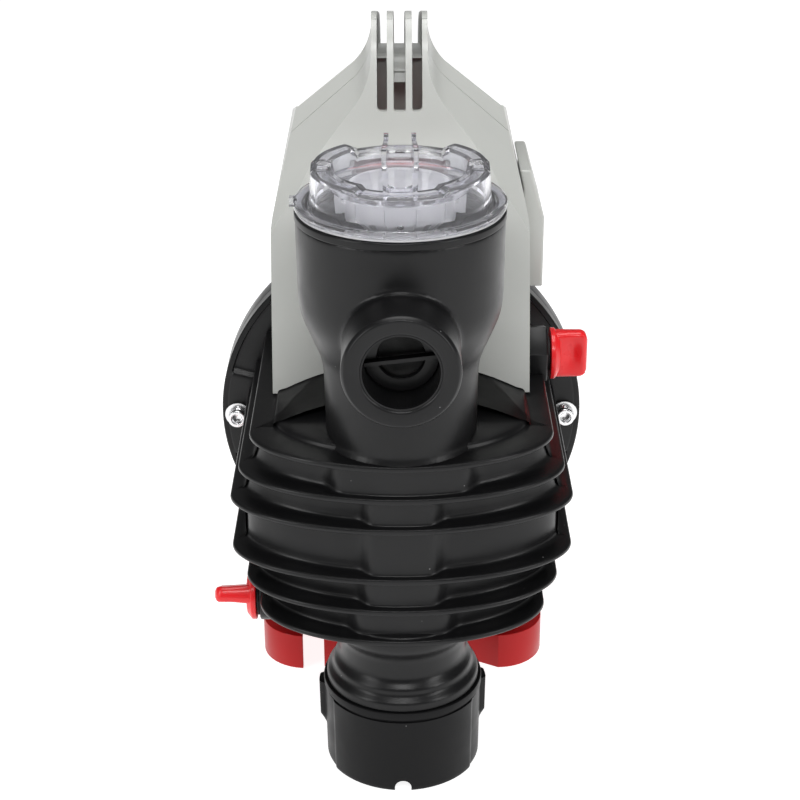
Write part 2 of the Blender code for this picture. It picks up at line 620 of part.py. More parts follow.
for side, name in ((-1, "left"), (1, "right")):
    hole = cylinder(f"plate_hole_{name}", 3.3, 50, 90, at=(side * 18, 242, 0), steps=12)
    cut(plate, hole)
    turned(
        f"foot_plate_screw_{name}",
        [(0, 72), (3, 72), (3, 60 - GAP), (5.2, 60 - GAP), (5.2, 55), (0, 55)],
        "zinc_steel", (side * 18, 242, 0), steps=16,
    )

# ---- Every part becomes its own finished mesh -----------------------------------------------------

bpy.context.view_layer.update()
graph = bpy.context.evaluated_depsgraph_get()
finished = {}
for obj in PARTS.objects:
    finished[obj] = bpy.data.meshes.new_from_object(obj.evaluated_get(graph), depsgraph=graph)
for obj, mesh in finished.items():
    if obj.type == "CURVE":
        solid = bpy.data.objects.new("solid", mesh)
        solid.matrix_world = obj.matrix_world.copy()
        name = obj.name
        bpy.data.objects.remove(obj)
        solid.name = name
        PARTS.objects.link(solid)
    else:
        obj.modifiers.clear()
        obj.data = mesh
    work = bmesh.new()
    work.from_mesh(mesh)
    bmesh.ops.remove_doubles(work, verts=work.verts, dist=0.00001)
    bmesh.ops.dissolve_degenerate(work, edges=work.edges, dist=0.00001)
    work.to_mesh(mesh)
    work.free()
    mesh.shade_smooth()
    mesh.set_sharp_from_angle(angle=math.radians(32))
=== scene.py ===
"""A self-priming jet pump with a filter bowl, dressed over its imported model. Lengths are in millimetres."""

import json
import math

import bmesh
import bpy
from mathutils import Matrix, Vector


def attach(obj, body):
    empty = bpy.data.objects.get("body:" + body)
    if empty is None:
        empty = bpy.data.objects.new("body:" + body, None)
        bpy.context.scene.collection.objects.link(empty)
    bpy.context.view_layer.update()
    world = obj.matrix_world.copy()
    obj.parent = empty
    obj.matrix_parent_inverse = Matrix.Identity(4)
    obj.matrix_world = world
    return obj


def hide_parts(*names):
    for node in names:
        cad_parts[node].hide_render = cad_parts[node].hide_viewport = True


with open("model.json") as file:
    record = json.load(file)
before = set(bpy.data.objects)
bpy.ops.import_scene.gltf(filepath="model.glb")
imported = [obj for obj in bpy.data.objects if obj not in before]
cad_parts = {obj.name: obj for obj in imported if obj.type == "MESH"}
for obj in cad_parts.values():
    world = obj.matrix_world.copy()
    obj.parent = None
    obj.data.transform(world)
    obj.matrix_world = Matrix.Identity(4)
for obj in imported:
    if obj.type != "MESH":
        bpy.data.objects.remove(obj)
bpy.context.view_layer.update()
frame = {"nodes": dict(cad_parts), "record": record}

# ---- Camera, floor and light ---------------------------------------------------------------------
# The pump stands on a pale floor in a studio of soft boxes: a broad one above, one on each side and a
# weaker fill from the front, with a white room round it.

MM = 0.001
scene = bpy.context.scene
camera = bpy.data.objects.new("camera", bpy.data.cameras.new("camera"))
camera.data.lens = 82.35
camera.data.sensor_width = 36.0
camera.data.clip_end = 50.0
camera.matrix_world = (
    Matrix.Translation(Vector((-0.0006, -0.790, 0.559)))
    @ Matrix.Rotation(math.radians(90.0 - 24.6), 4, "X")
    @ Matrix.Rotation(math.radians(-0.3), 4, "Z")
)
scene.collection.objects.link(camera)
scene.camera = camera
scene.view_settings.view_transform = "Standard"

world = bpy.data.worlds.new("studio")
scene.world = world
world.use_nodes = True
world.node_tree.nodes["Background"].inputs["Color"].default_value = (1.0, 1.0, 1.0, 1.0)
world.node_tree.nodes["Background"].inputs["Strength"].default_value = 0.14

for name, spot, aim, width, height, power in (
    ("top_box", (0.0, 0.1, 1.5), (0, 0.05, 0.1), 0.9, 0.7, 11),
    ("left_box", (-1.2, -0.8, 0.75), (0, 0.0, 0.15), 0.4, 1.0, 8),
    ("right_box", (1.2, -0.8, 0.75), (0, 0.0, 0.15), 0.4, 1.0, 8),
    ("front_box", (0.0, -1.5, 1.7), (0, 0.0, 0.12), 1.0, 0.4, 16),
):
    lamp = bpy.data.lights.new(name, "AREA")
    lamp.shape = "RECTANGLE"
    lamp.size, lamp.size_y, lamp.energy = width, height, power
    lamp_object = bpy.data.objects.new(name, lamp)
    lamp_object.location = spot
    lamp_object.rotation_euler = (Vector(aim) - Vector(spot)).to_track_quat("-Z", "Y").to_euler()
    scene.collection.objects.link(lamp_object)

floor_mesh = bpy.data.meshes.new("floor")
floor_mesh.from_pydata([(-24, -24, 0), (24, -24, 0), (24, 24, 0), (-24, 24, 0)], [], [(0, 1, 2, 3)])
floor = bpy.data.objects.new("floor", floor_mesh)
scene.collection.objects.link(floor)
floor_paint = bpy.data.materials.new("floor_paint")
floor_paint.use_nodes = True
floor_paint.node_tree.nodes["Principled BSDF"].inputs["Base Color"].default_value = (0.55, 0.55, 0.55, 1)
floor_paint.node_tree.nodes["Principled BSDF"].inputs["Roughness"].default_value = 0.8
floor_paint.node_tree.nodes["Principled BSDF"].inputs["Emission Color"].default_value = (1, 1, 1, 1)
floor_paint.node_tree.nodes["Principled BSDF"].inputs["Emission Strength"].default_value = 0.9
floor_mesh.materials.append(floor_paint)

# ---- Tank wall and ribs --------------------------------------------------------------------------
# The tank is one injection moulding in black glass-filled plastic: a barrel with a bulging front and
# straight sides, stiffened by six flat ribs all round, each with a soft edge and a small root radius.


def moulded_plastic(name, colour, roughness, grain=0.25, grain_mm=0.35, sheen_mm=14.0, gloss=0.0, dust=0.0, shine=0.5):
    """Moulded plastic: fine grain in the surface, slow changes of gloss, and dust where asked."""
    made = bpy.data.materials.new(name)
    made.use_nodes = True
    tree = made.node_tree
    shader = tree.nodes["Principled BSDF"]
    shader.inputs["Roughness"].default_value = roughness
    shader.inputs["Specular IOR Level"].default_value = shine
    shader.inputs["Coat Weight"].default_value = gloss
    shader.inputs["Coat Roughness"].default_value = 0.12
    place = tree.nodes.new("ShaderNodeTexCoord")

    def noise(scale_mm, detail=3.0):
        node = tree.nodes.new("ShaderNodeTexNoise")
        node.inputs["Scale"].default_value = 1000.0 / scale_mm
        node.inputs["Detail"].default_value = detail
        tree.links.new(place.outputs["Object"], node.inputs["Vector"])
        return node.outputs["Fac"]

    def spread(source, low, high, from_low=0.35, from_high=0.65):
        node = tree.nodes.new("ShaderNodeMapRange")
        node.inputs["From Min"].default_value = from_low
        node.inputs["From Max"].default_value = from_high
        node.inputs["To Min"].default_value = low
        node.inputs["To Max"].default_value = high
        tree.links.new(source, node.inputs["Value"])
        return node.outputs["Result"]

    tree.links.new(spread(noise(sheen_mm), roughness * 0.86, roughness * 1.16), shader.inputs["Roughness"])
    tint = tree.nodes.new("ShaderNodeMix")
    tint.data_type = "RGBA"
    tint.inputs["A"].default_value = (*[c * 0.93 for c in colour], 1)
    tint.inputs["B"].default_value = (*[min(1.0, c * 1.06) for c in colour], 1)
    tree.links.new(noise(sheen_mm * 2.5, 2.0), tint.inputs["Factor"])
    base = tint.outputs["Result"]
    if dust:
        specks = tree.nodes.new("ShaderNodeTexVoronoi")
        specks.inputs["Scale"].default_value = 1000.0 / 9.0
        tree.links.new(place.outputs["Object"], specks.inputs["Vector"])
        near = spread(specks.outputs["Distance"], 1.0, 0.0, 0.018, 0.034)
        rare = spread(noise(23.0, 1.0), 0.0, dust, 0.52, 0.56)
        both = tree.nodes.new("ShaderNodeMath")
        both.operation = "MULTIPLY"
        tree.links.new(near, both.inputs[0])
        tree.links.new(rare, both.inputs[1])
        dusted = tree.nodes.new("ShaderNodeMix")
        dusted.data_type = "RGBA"
        dusted.inputs["B"].default_value = (0.30, 0.30, 0.30, 1)
        tree.links.new(both.outputs[0], dusted.inputs["Factor"])
        tree.links.new(base, dusted.inputs["A"])
        base = dusted.outputs["Result"]
    tree.links.new(base, shader.inputs["Base Color"])
    bump = tree.nodes.new("ShaderNodeBump")
    bump.inputs["Strength"].default_value = grain
    bump.inputs["Distance"].default_value = 0.05 * MM
    tree.links.new(noise(grain_mm, 2.0), bump.inputs["Height"])
    tree.links.new(bump.outputs["Normal"], shader.inputs["Normal"])
    return made


def finish_piece(obj, material, body, nodes=(), angle=38.0):
    """Shades a finished mesh, gives it its material, and joins it to its body."""
    mesh = obj.data
    mesh.materials.clear()
    mesh.materials.append(material)
    mesh.shade_smooth()
    mesh.set_sharp_from_angle(angle=math.radians(angle))
    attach(obj, body)
    if nodes:
        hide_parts(*nodes)
    return obj


def new_piece(name, verts, faces):
    """A mesh object at the origin from points in millimetres, welded and with its faces outwards."""
    mesh = bpy.data.meshes.new(name)
    work = bmesh.new()
    made = [work.verts.new(Vector(v) * MM) for v in verts]
    for face in faces:
        work.faces.new([made[i] for i in face])
    bmesh.ops.remove_doubles(work, verts=work.verts, dist=0.000002)
    bmesh.ops.recalc_face_normals(work, faces=work.faces)
    if work.calc_volume(signed=True) < 0:
        bmesh.ops.reverse_faces(work, faces=work.faces)
    work.to_mesh(mesh)
    work.free()
    obj = bpy.data.objects.new(name, mesh)
    scene.collection.objects.link(obj)
    return obj


def skin(name, rings, closed_ends=True):
    """A closed surface over a stack of rings; a ring of one point is a pole."""
    verts, starts = [], []
    for ring in rings:
        starts.append(len(verts))
        verts += ring
    faces = []
    pairs = list(zip(range(len(rings) - 1), range(1, len(rings))))
    if not closed_ends:
        pairs.append((len(rings) - 1, 0))
    for r, q in pairs:
        lower, upper, a, b = len(rings[r]), len(rings[q]), starts[r], starts[q]
        for i in range(max(lower, upper)):
            j = (i + 1) % max(lower, upper)
            if lower == 1:
                faces.append((a, b + j, b + i))
            elif upper == 1:
                faces.append((a + i, a + j, b))
            else:
                faces.append((a + i, a + j, b + j, b + i))
    if closed_ends:
        for r in (0, len(rings) - 1):
            if len(rings[r]) > 1:
                faces.append(tuple(range(starts[r], starts[r] + len(rings[r]))))
    return new_piece(name, verts, faces)


def between(table, z):
    """A value read from a table of (height, value) with smooth steps between its rows."""
    for (z0, a), (z1, b) in zip(table, table[1:]):
        if z <= z1:
            share = max(0.0, min(1.0, (z - z0) / (z1 - z0)))
            return a + (b - a) * share
    return table[-1][1]


WALL_HALF = [(76, 50), (78, 60), (82, 65), (90, 67), (102, 70.5), (110.5, 74), (119, 77), (146, 77), (154, 75),
             (162, 72.5), (171, 69.5), (178.9, 66.5), (179.1, 62.0), (182.2, 61.6), (183.1, 60.8), (183.5, 59.6),
             (184, 57.5), (186, 53), (189, 45.5), (192, 36.5), (194.5, 27), (196.4, 15), (197.2, 5), (197.4, 1)]
WALL_FRONT = [(76, -14), (78, -23), (82, -27), (90, -28), (119, -29), (146, -29), (178.9, -29), (179.1, -26),
              (182.2, -25.6), (183.1, -24.6), (183.5, -23), (184, -19), (186, -6), (189, 12), (192, 27),
              (194.5, 40), (196.4, 50), (197.2, 57), (197.4, 60)]
RIB_HALF = [(85, 71), (102, 77), (119, 83.5), (146, 83.5), (162, 79), (179, 73)]
RIB_EDGE = [(-4.2, 0), (-3.2, 0.02), (-2.5, 0.06), (-2.0, 0.14), (-1.75, 0.25), (-1.62, 0.5), (-1.55, 0.85),
            (-1.3, 0.94), (-0.8, 0.985), (0, 1), (0.8, 0.985), (1.3, 0.94), (1.55, 0.85), (1.62, 0.5), (1.75, 0.25),
            (2.0, 0.14), (2.5, 0.06), (3.2, 0.02), (4.2, 0)]
SHELF_EDGE = [(-4.2, 0), (-3.2, 0.02), (-2.5, 0.06), (-2.0, 0.14), (-1.75, 0.25), (-1.62, 0.5), (-1.55, 0.85),
              (-1.3, 0.94), (-0.8, 0.985), (0, 1), (0.8, 0.99), (1.3, 0.96), (1.5, 0.92), (1.6, 0.86), (1.63, 0.5),
              (1.66, 0.16), (1.72, 0.06), (1.9, 0.02), (2.4, 0)]
TANK_BACK = 127.0


def tank_ring(z, edge, rib_half):
    """The tank's outline at one height, from the wall (edge 0) to the rim of a rib (edge 1)."""
    half = between(WALL_HALF, z) * (1 - edge) + rib_half * edge
    front = between(WALL_FRONT, z) * (1 - edge) - 38.0 * edge
    bulge = 40.0 * min(1.0, half / 62)
    ring = []
    for i in range(89):
        u = -math.cos(math.pi * i / 88)
        y = front + bulge * (1 - (1 - u * u) ** 0.55)
        x = half * u
        post = 33.0 if z > 162 else 17.5 if z > 119 else 19.0 if z > 102 else 24.0
        swell = 1 / (1 + math.exp((abs(x) - post) / 1.3)) if z < 179 else 0
        ring.append((x, y - 5.6 * swell * (1 - edge) * min(1.0, (half / 66) ** 4), z))
    back = [(half, y, z) for y in range(6, int(TANK_BACK), 10)] + [(half, TANK_BACK, z)]
    return ring + back + [(-x, y, z) for x, y, _ in reversed(back)]


tank_rings = []
heights = [(z, 0.0, 60.0) for z in (76, 77, 78.5, 80, 91, 93.5, 96, 108, 110, 113, 125, 130, 135, 140, 152, 155,
                                    168, 171, 173, 182.2, 182.7, 183.1, 183.3, 183.5, 183.8, 184.4, 185.2, 186, 187.5,
                                    189, 190.5, 192, 193.3, 194.5, 195.6, 196.4, 196.9, 197.2)]
for rib_z, rib_half in RIB_HALF:
    heights += [(rib_z + rise, edge, rib_half) for rise, edge in (SHELF_EDGE if rib_z == 179 else RIB_EDGE)]
for z, edge, rib_half in sorted(heights):
    tank_rings.append(tank_ring(z, edge, rib_half))
black_plastic = moulded_plastic("black_plastic", (0.006, 0.006, 0.0064), 0.33, 0.3, 0.5, 16.0, 0.0, 1.0, shine=0.25)
tank = skin("tank_wall", tank_rings)
finish_piece(tank, black_plastic, "pump_body", ["pump_vessel"], 50)

# ---- Filter column, suction port and neck --------------------------------------------------------
# The column, the port boss and the neck are part of the same moulding. They meet in soft fillets, the
# column ends in a plain rim band, and the port is a thick boss with a chamfered face round its bore.


def rounded(points, radii, steps=6):
    """An open line with its inner corners rounded by the given radii."""
    out = [Vector(points[0])]
    for before, corner, after, radius in zip(points, points[1:], points[2:], radii):
        before, corner, after = Vector(before), Vector(corner), Vector(after)
        a, b = (before - corner), (after - corner)
        reach = min(radius, a.length * 0.49, b.length * 0.49)
        if radius <= 0:
            out.append(corner)
            continue
        start, end = corner + a.normalized() * reach, corner + b.normalized() * reach
        for i in range(steps + 1):
            t = i / steps
            out.append(start * (1 - t) ** 2 + corner * 2 * t * (1 - t) + end * t * t)
    out.append(Vector(points[-1]))
    return out


DIRECTIONS = {
    "up": Matrix.Identity(3),
    "front": Matrix(((1, 0, 0), (0, 0, -1), (0, 1, 0))),
    "back": Matrix(((1, 0, 0), (0, 0, 1), (0, -1, 0))),
    "right": Matrix(((0, 0, 1), (0, 1, 0), (-1, 0, 0))),
    "left": Matrix(((0, 0, -1), (0, 1, 0), (1, 0, 0))),
}


def lathed(name, profile, at=(0, 0, 0), way="up", steps=96, ring=False):
    """A turned solid from (radius, height) points; a ring profile is closed on itself."""
    turn = DIRECTIONS[way]
    rings = []
    for radius, height in profile:
        angles = [2 * math.pi * i / steps for i in range(steps)] if radius > 0.001 else [0]
        rings.append([Vector(at) + turn @ Vector((radius * math.cos(a), radius * math.sin(a), height))
                      for a in angles])
    return skin(name, rings, closed_ends=not ring)


def baked(obj):
    """The object's mesh with its modifiers worked in."""
    bpy.context.view_layer.update()
    graph = bpy.context.evaluated_depsgraph_get()
    mesh = bpy.data.meshes.new_from_object(obj.evaluated_get(graph), depsgraph=graph)
    obj.modifiers.clear()
    obj.data = mesh
    return obj


def combine(obj, *others, how="UNION"):
    for other in others:
        step = obj.modifiers.new("join", "BOOLEAN")
        step.operation = how
        step.solver = "MANIFOLD"
        step.object = other
    baked(obj)
    for other in others:
        bpy.data.objects.remove(other)
    return obj


def melted(obj, voxel, passes, strength=0.5):
    """Joins crossing shapes into one skin whose inner corners are filled like a moulding's."""
    melt = obj.modifiers.new("melt", "REMESH")
    melt.mode = "VOXEL"
    melt.voxel_size = voxel * MM
    ease = obj.modifiers.new("ease", "SMOOTH")
    ease.factor = strength
    ease.iterations = passes
    return baked(obj)


PORT_Z = 243.0
column = lathed("filter_column", rounded(
    [(0, 290), (48.0, 290), (47.4, 246), (37.4, 222), (36.4, 214), (36.0, 182.5), (37.6, 180.8), (37.6, 178),
     (0, 178)], [0.5, 7.0, 8.0, 8.0, 2.0, 0.5, 0.5]), steps=128)
port = lathed("port", rounded([(0, 72.5), (26.2, 72.5), (26.5, 30), (0, 30)], [1.2, 0.5]),
              at=(0, 0, PORT_Z), way="front", steps=96)
combine(column, port)
melted(column, 1.15, 7, 0.6)
bore = lathed("bore", [(0, 300), (43.6, 300), (43.6, 240), (31, 227), (31, 192), (0, 192)], steps=96)
port_bore = lathed("port_bore", [(0, 90), (17, 90), (17, 20), (0, 20)], at=(0, 0, PORT_Z), way="front", steps=64)
combine(column, bore, port_bore, how="DIFFERENCE")
finish_piece(column, black_plastic, "pump_body", ["pump_vessel"], 40)

rim = lathed("column_rim", rounded(
    [(43.6, 285), (43.6, 293), (48.4, 293), (48.4, 289.6), (47.7, 289.3), (47.7, 285)],
    [0.3, 0.9, 0.5, 0.2], 4)[1:-1], steps=160, ring=True)
finish_piece(rim, black_plastic, "pump_body", ["pump_vessel"], 40)

port_face = lathed("port_face", rounded(
    [(17.0, 40), (17.0, 71.6), (18.4, 73.4), (24.8, 74.0), (26.3, 72.0), (26.3, 68)],
    [0.5, 0.8, 0.8, 0.8], 4) + [Vector((24, 66)), Vector((24, 40))],
    at=(0, 0, PORT_Z), way="front", steps=96, ring=True)
finish_piece(port_face, black_plastic, "pump_body", ["pump_vessel"], 30)

neck = lathed("tank_neck", rounded(
    [(0, 88), (37, 88), (36, 78), (31.8, 72), (31.5, 60.5), (35.0, 56.5), (35.2, 53.6), (38.2, 50.6), (38.4, 46.7),
     (33, 46.7), (33, 14.6), (0, 14.6)],
    [3, 3, 4, 3, 1.2, 1.5, 1.2, 0.3, 0.3, 0.5]), steps=96)
finish_piece(neck, black_plastic, "pump_body", ["pump_vessel"], 40)

# ---- Rear flange of the tank and the motor bracket -----------------------------------------------
# The tank ends in a round flange that is screwed to the bracket of the motor through an O-ring. The
# flange has a flat lip round a shallow step; the bracket behind it is a second ring with a cone.

AXIS = (0, 0, 132.0)
flange_rings = []
for radius, rise, pad in ((77.5, 10, 0), (77.5, 0, 0), (82, 0, 1), (84, 0, 1), (94.6, 0, 1), (95.2, 0.2, 1),
                          (95.8, 0.9, 0), (98.0, 0.9, 0), (98.6, 1.5, 0), (98.6, 9.9, 0)):
    ring = []
    for i in range(360):
        off = abs((i + 30) % 60 - 30)
        low = 2.6 * pad / (1 + math.exp((15.5 - off) / 0.35))
        ring.append((radius * math.cos(math.radians(i)), 126.1 + rise + low,
                     132 + radius * math.sin(math.radians(i))))
    flange_rings.append(ring)
flange = skin("tank_flange", flange_rings, closed_ends=False)
finish_piece(flange, black_plastic, "pump_body", ["pump_vessel"], 40)
drum = lathed("tank_drum", rounded([(77.5, 130), (77.5, 96), (82, 96), (82, 130)], [1, 2]),
              at=AXIS, way="back", steps=128, ring=True)
finish_piece(drum, black_plastic, "pump_body", ["pump_vessel"], 40)

bracket = lathed("bracket", rounded(
    [(59.6, 182), (59.6, 172), (64, 154), (23, 152), (12.4, 149), (12.4, 136.3), (98.6, 136.3), (98.6, 151),
     (92, 153.5), (72, 160), (62.4, 176), (62.4, 182)],
    [0.5, 1, 1, 0.5, 0.3, 1.0, 2.0, 4, 8, 4], 5), at=AXIS, way="back", steps=160, ring=True)
finish_piece(bracket, black_plastic, "pump_body", ["motor_bracket"], 40)

# ---- Foot cap ------------------------------------------------------------------------------------
# The screw cap closes the neck and carries the front of the pump. It is a deep black cup with a rim ring,
# three grip lugs with sloped lower ends, a broad smooth front and a small arched notch at the bottom.


def wall_along(name, path, half_width, low, high):
    """An upright wall of even thickness that follows a path seen from above."""
    left, right = [], []
    for i, (x, y) in enumerate(path):
        x0, y0 = path[max(0, i - 1)]
        x1, y1 = path[min(len(path) - 1, i + 1)]
        length = math.hypot(x1 - x0, y1 - y0)
        nx, ny = -(y1 - y0) / length * half_width, (x1 - x0) / length * half_width
        left.append((x + nx, y + ny))
        right.append((x - nx, y - ny))
    outline = left + right[::-1]
    rings = [[(x, y, low) for x, y in outline], [(x, y, high) for x, y in outline]]
    return skin(name, rings)


def cap_radius(angle, z):
    """The cap's outer radius at an angle from the front, with lugs and flats."""
    radius = 39.4 + 0.6 * (z / 42.0) if z < 42 else 40.0
    if z < 1.6:
        radius -= 1.6 * (1 - z / 1.6) ** 2
    lug = 0.0
    for centre in (-92.0, 97.0, 180.0):
        off = abs((math.degrees(angle) - centre + 180) % 360 - 180)
        lug = max(lug, 1 / (1 + math.exp((off - 7.0) / 0.6)))
    slope = max(0.0, min(1.0, (z - 17) / 5.0))
    if z < 41.8:
        radius += 3.0 * lug * slope
        off = abs((math.degrees(angle) + 180) % 360 - 180)
        radius += 0.9 / (1 + math.exp((off - 60.0) / 0.5)) - 0.5
    if 41.4 < z < 42.4:
        radius -= 1.0
    return radius


cap_rings = [[(0, 0, 8.5)]]
for radius, z in ((36.4, 8.5), (36.8, 8.1), (37.2, 0.2)):
    cap_rings.append([(radius * math.sin(2 * math.pi * i / 240), -radius * math.cos(2 * math.pi * i / 240), z)
                      for i in range(240)])
for z in [0, 0.4, 0.9, 1.6, 3, 8, 13, 15, 16, 17, 18, 19, 20, 21, 22, 24, 30, 36, 40, 41, 41.3, 41.5, 42.2, 42.5,
          43.2, 45.2, 46.0, 46.3]:
    inset = 0.5 if z >= 46.3 else 0.15 if z >= 46 else 0.0
    cap_rings.append([(
        (cap_radius(a, z) - inset) * math.sin(a), -(cap_radius(a, z) - inset) * math.cos(a), z)
        for a in (2 * math.pi * i / 240 for i in range(240))])
for radius, z in ((34.4, 46.3), (34.4, 20), (34.4, 12.4), (33.9, 12)):
    cap_rings.append([(radius * math.sin(2 * math.pi * i / 240), -radius * math.cos(2 * math.pi * i / 240), z)
                      for i in range(240)])
cap_rings.append([(0, 0, 12)])
foot_cap = skin("foot_cap_shell", cap_rings)
notch = wall_along("notch", [(0, -44), (0, -35)], 4.1, -2, 2.6)
arch = lathed("arch", [(0, 44), (4.1, 44), (4.1, 35), (0, 35)], at=(0, 0, 2.6), way="front", steps=40)
combine(notch, arch)
combine(foot_cap, notch, how="DIFFERENCE")
cap_black = moulded_plastic("cap_black", (0.005, 0.005, 0.0054), 0.38, 0.3, 0.5, 16.0, 0.0, 0.6, shine=0.13)
finish_piece(foot_cap, cap_black, "foot_cap_body", ["foot_cap"], 32)

rubber = moulded_plastic("black_rubber", (0.016, 0.016, 0.016), 0.72, 0.5, 0.6, 8.0)
gasket = lathed("cap_gasket", rounded([(26.6, 12.3), (33.3, 12.3), (33.3, 14.2), (26.6, 14.2)], [0.4, 0.4], 3),
                steps=96, ring=True)
finish_piece(gasket, rubber, "foot_cap_body", ["foot_cap_gasket"], 40)

# ---- Check valve in the suction port -------------------------------------------------------------
# A black plastic cage is pressed into the port: its seat ring has a thin bar across it, and a rubber flap
# hangs behind the seat.

cage = lathed("valve_cage", rounded([(10.5, 51), (10.5, 54.2), (16.6, 54.5), (16.6, 40), (15.4, 40), (15.4, 51)],
                                    [0.8, 0.4, 0.2, 0.2], 3), at=(0, 0, PORT_Z), way="front", steps=64, ring=True)
bar_verts, bar_faces = [], []
for x, z in ((-16.4, -2.6), (16.4, 1.2)):
    for y, dz in ((-57.6, 0.9), (-54.2, 1.3), (-54.2, -1.3), (-57.6, -0.9)):
        bar_verts.append((x, y, PORT_Z + z + dz))
bar_faces = [(0, 1, 2, 3), (7, 6, 5, 4), (0, 4, 5, 1), (1, 5, 6, 2), (2, 6, 7, 3), (3, 7, 4, 0)]
bar = new_piece("cage_bar", bar_verts, bar_faces)
combine(cage, bar)
finish_piece(cage, black_plastic, "pump_body", ["suction_valve_cage"], 30)

flap = lathed("valve_flap", rounded([(0, 50.7), (10, 50.7), (12.6, 50.2), (12.6, 48.4), (0, 48.3)],
                                    [0.5, 0.5, 0.5], 4), at=(0, 0, PORT_Z), way="front", steps=64)
finish_piece(flap, rubber, "valve_flap_body", ["suction_valve_flap"])

# ---- Strainer ------------------------------------------------------------------------------------
# A white plastic basket hangs in the bowl under the lid: a closed top ring, a slotted wall, and a flat bar
# on each side that holds it down.

def prism(name, outline, low, high, across):
    place = {"Z": lambda a, b, c: (a, b, c), "Y": lambda a, b, c: (a, c, b), "X": lambda a, b, c: (c, a, b)}[across]
    return skin(name, [[place(a, b, low) for a, b in outline], [place(a, b, high) for a, b in outline]])


def repeated(name, piece, count, turn=(0, 0, 0), step=(0, 0, 0), material=None):
    """One mesh of equal copies: copy number n is turned by n x turn degrees and moved by n x step millimetres."""
    tree = bpy.data.node_groups.get("repeat_piece")
    if tree is None:
        tree = bpy.data.node_groups.new("repeat_piece", "GeometryNodeTree")
        for label, kind in (("Piece", "Object"), ("Count", "Int"), ("Turn", "Vector"), ("Step", "Vector"),
                            ("Material", "Material")):
            tree.interface.new_socket(label, in_out="INPUT", socket_type=f"NodeSocket{kind}")
        tree.interface.new_socket("Geometry", in_out="OUTPUT", socket_type="NodeSocketGeometry")
        given, result = tree.nodes.new("NodeGroupInput"), tree.nodes.new("NodeGroupOutput")
        info = tree.nodes.new("GeometryNodeObjectInfo")
        index = tree.nodes.new("GeometryNodeInputIndex")
        points = tree.nodes.new("GeometryNodePoints")
        copies = tree.nodes.new("GeometryNodeInstanceOnPoints")
        whole = tree.nodes.new("GeometryNodeRealizeInstances")
        paint = tree.nodes.new("GeometryNodeSetMaterial")
        scaled = []
        for label in ("Turn", "Step"):
            times = tree.nodes.new("ShaderNodeVectorMath")
            times.operation = "SCALE"
            tree.links.new(given.outputs[label], times.inputs["Vector"])
            tree.links.new(index.outputs["Index"], times.inputs["Scale"])
            scaled.append(times.outputs["Vector"])
        tree.links.new(given.outputs["Piece"], info.inputs["Object"])
        tree.links.new(given.outputs["Count"], points.inputs["Count"])
        tree.links.new(scaled[1], points.inputs["Position"])
        tree.links.new(points.outputs["Points"], copies.inputs["Points"])
        tree.links.new(info.outputs["Geometry"], copies.inputs["Instance"])
        tree.links.new(scaled[0], copies.inputs["Rotation"])
        tree.links.new(copies.outputs["Instances"], whole.inputs["Geometry"])
        tree.links.new(whole.outputs["Geometry"], paint.inputs["Geometry"])
        tree.links.new(given.outputs["Material"], paint.inputs["Material"])
        tree.links.new(paint.outputs["Geometry"], result.inputs["Geometry"])
    made = bpy.data.objects.new(name, bpy.data.meshes.new(name))
    scene.collection.objects.link(made)
    grown = made.modifiers.new("repeat", "NODES")
    grown.node_group = tree
    values = {"Piece": piece, "Count": count, "Turn": Vector([math.radians(v) for v in turn]),
              "Step": Vector(step) * MM, "Material": material}
    for item in tree.interface.items_tree:
        if item.in_out == "INPUT" and values[item.name] is not None:
            grown[item.identifier] = values[item.name]
    baked(made)
    bpy.data.objects.remove(piece)
    return made


white_plastic = moulded_plastic("white_plastic", (0.86, 0.86, 0.86), 0.42, 0.25, 0.5, 12.0)
strainer = lathed("strainer_cup", rounded(
    [(0, 297.5), (21.8, 297.5), (22.4, 302.4), (23.4, 303.2), (24.5, 302.2), (24.5, 200), (28.8, 198.6), (28.8, 196.5),
     (17, 196.5), (17, 202), (22.6, 202), (22.6, 294), (0, 294)],
    [2, 0.5, 0.4, 0.5, 1, 0.6, 0.4, 0.5, 0.5, 1, 1], 4), steps=96)
side_bars = [prism("side_bar", [(side * 26.6, -3.2), (side * 26.6, 3.2), (side * 29.6, 3.2), (side * 29.6, -3.2)],
                   291.0, 302.6, "Z") for side in (-1, 1)]
arms = prism("arms", [(-28, -2.4), (28, -2.4), (28, 2.4), (-28, 2.4)], 291.2, 296.8, "Z")
combine(strainer, *side_bars, arms)
rib = prism("rib", [(24.0, -0.8), (25.4, -0.8), (25.4, 0.8), (24.0, 0.8)], 206, 300.5, "Z")
ribs = repeated("strainer_ribs", rib, 10, turn=(0, 0, 36), material=white_plastic)
combine(strainer, ribs)
low_slot = prism("low_slot", [(20, -2.1), (30, -2.1), (30, 2.1), (20, 2.1)], 208, 243, "Z")
high_slot = prism("high_slot", [(20, -2.1), (30, -2.1), (30, 2.1), (20, 2.1)], 253, 286, "Z")
for slot in (low_slot, high_slot):
    slot.data.transform(Matrix.Rotation(math.radians(18), 4, "Z"))
combine(strainer, repeated("low_slots", low_slot, 10, turn=(0, 0, 36)),
        repeated("high_slots", high_slot, 10, turn=(0, 0, 36)), how="DIFFERENCE")
finish_piece(strainer, white_plastic, "strainer_body", ["strainer_basket"])

# ---- Filter lid ----------------------------------------------------------------------------------
# The lid is moulded in clear polycarbonate: a flat flange on a seal, a hollow crown with a sunken dish, four
# raised grip lobes, and two channels across the dish whose walls take a bar to turn it.

